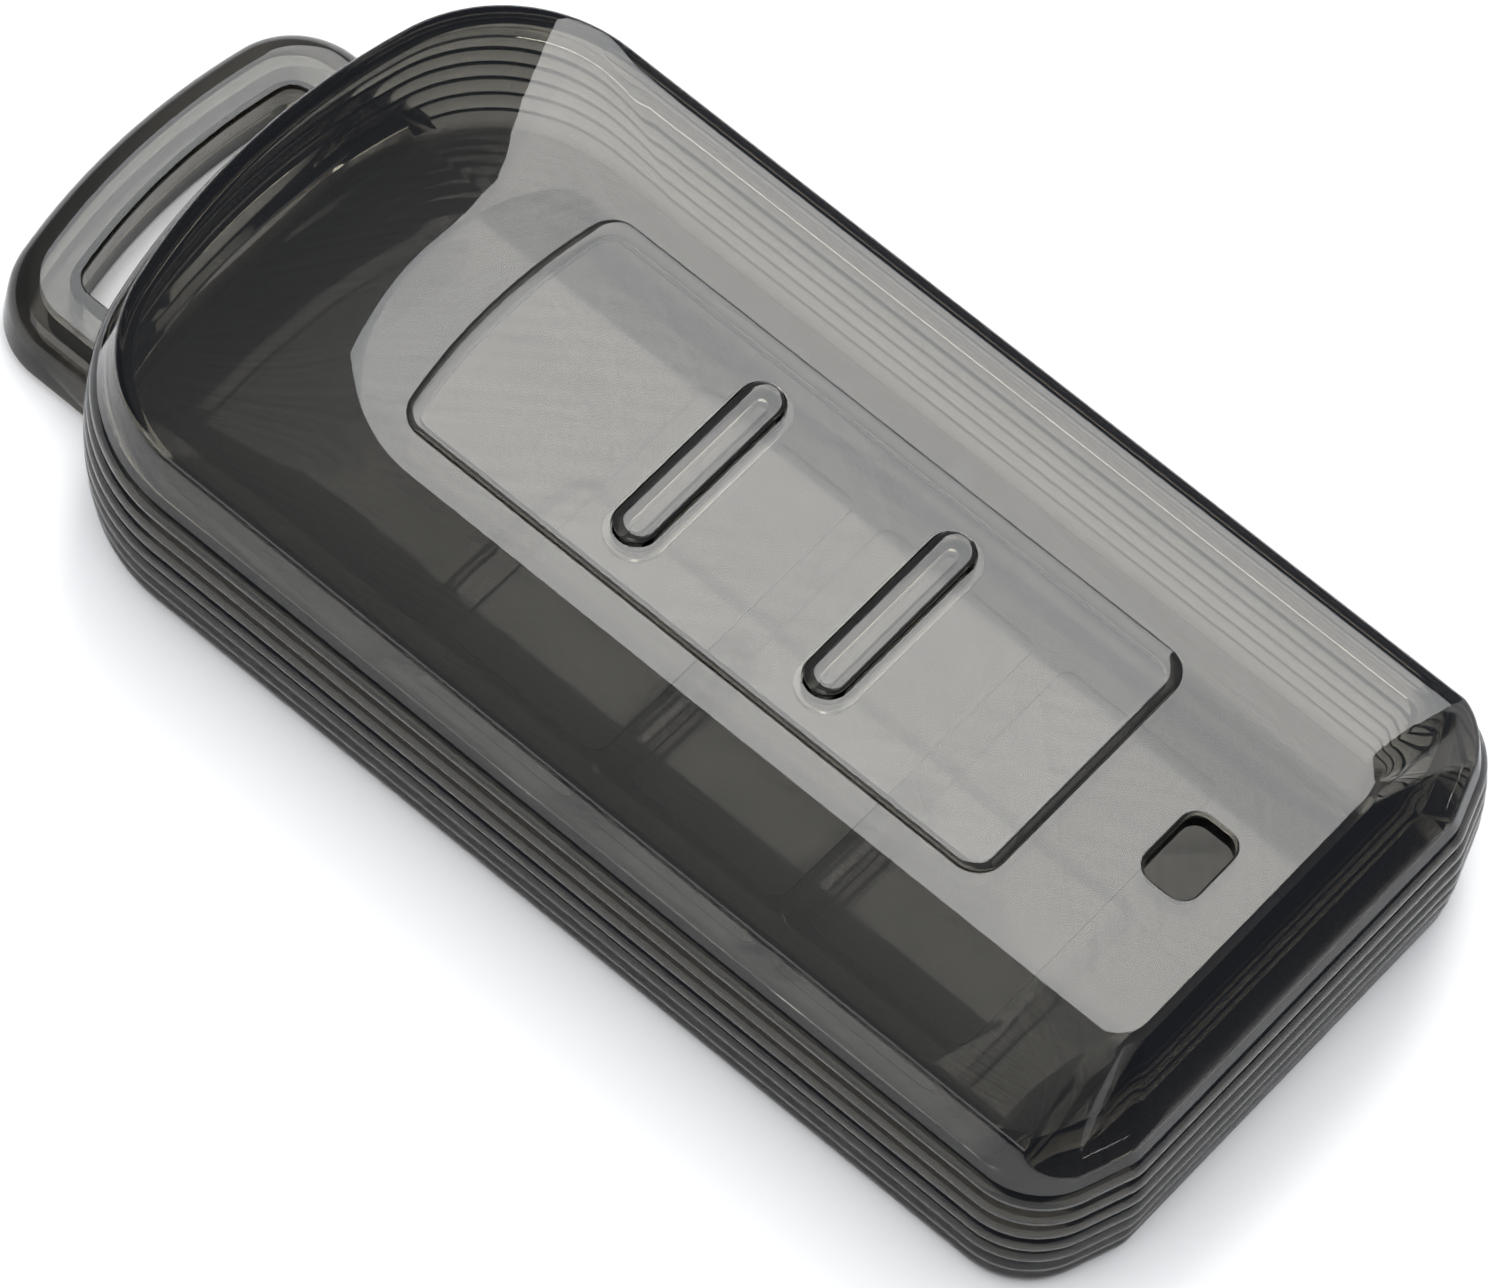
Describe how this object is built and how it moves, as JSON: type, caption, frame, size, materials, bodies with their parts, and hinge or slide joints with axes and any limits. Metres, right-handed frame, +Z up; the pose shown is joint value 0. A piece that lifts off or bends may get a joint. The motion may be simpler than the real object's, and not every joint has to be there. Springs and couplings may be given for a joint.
{
  "type": "key fob cover",
  "caption": "Smoke-clear protective cover for a car key fob: ribbed tub with a key-ring loop, lift-off crowned lid, raised button panel with press bars and a light window.",
  "frame": {"origin": "on the surface the cover lies on, under the middle of its whole length and width", "axes": "+Z up out of the button face, +Y along the cover to the key-ring loop, +X across it"},
  "size_m": [0.04, 0.085, 0.0169],
  "materials": {
    "smoke_tub": "glossy smoke-clear soft plastic",
    "smoke_lid": "glossy smoke-clear soft plastic",
    "smoke_panel": "glossy smoke-clear soft plastic, thinner",
    "smoke_button": "glossy smoke-clear soft plastic"
  },
  "bodies": {
    "tub": {"back_shell": "smoke_tub"},
    "lid": {"front_shell": "smoke_lid", "button_panel": "smoke_panel"},
    "upper_press": {"upper_button": "smoke_button"},
    "lower_press": {"lower_button": "smoke_button"}
  },
  "joints": [
    {"name": "lid_lift", "type": "slide", "parent": "tub", "child": "lid", "axis": [0, 0, 1], "range_m": [0, 0.022]},
    {"name": "upper_press_slide", "type": "slide", "parent": "lid", "child": "upper_press", "axis": [0, 0, -1], "range_m": [0, 0.0004], "stiffness_N_per_m": 1500},
    {"name": "lower_press_slide", "type": "slide", "parent": "lid", "child": "lower_press", "axis": [0, 0, -1], "range_m": [0, 0.0004], "stiffness_N_per_m": 1500}
  ]
}
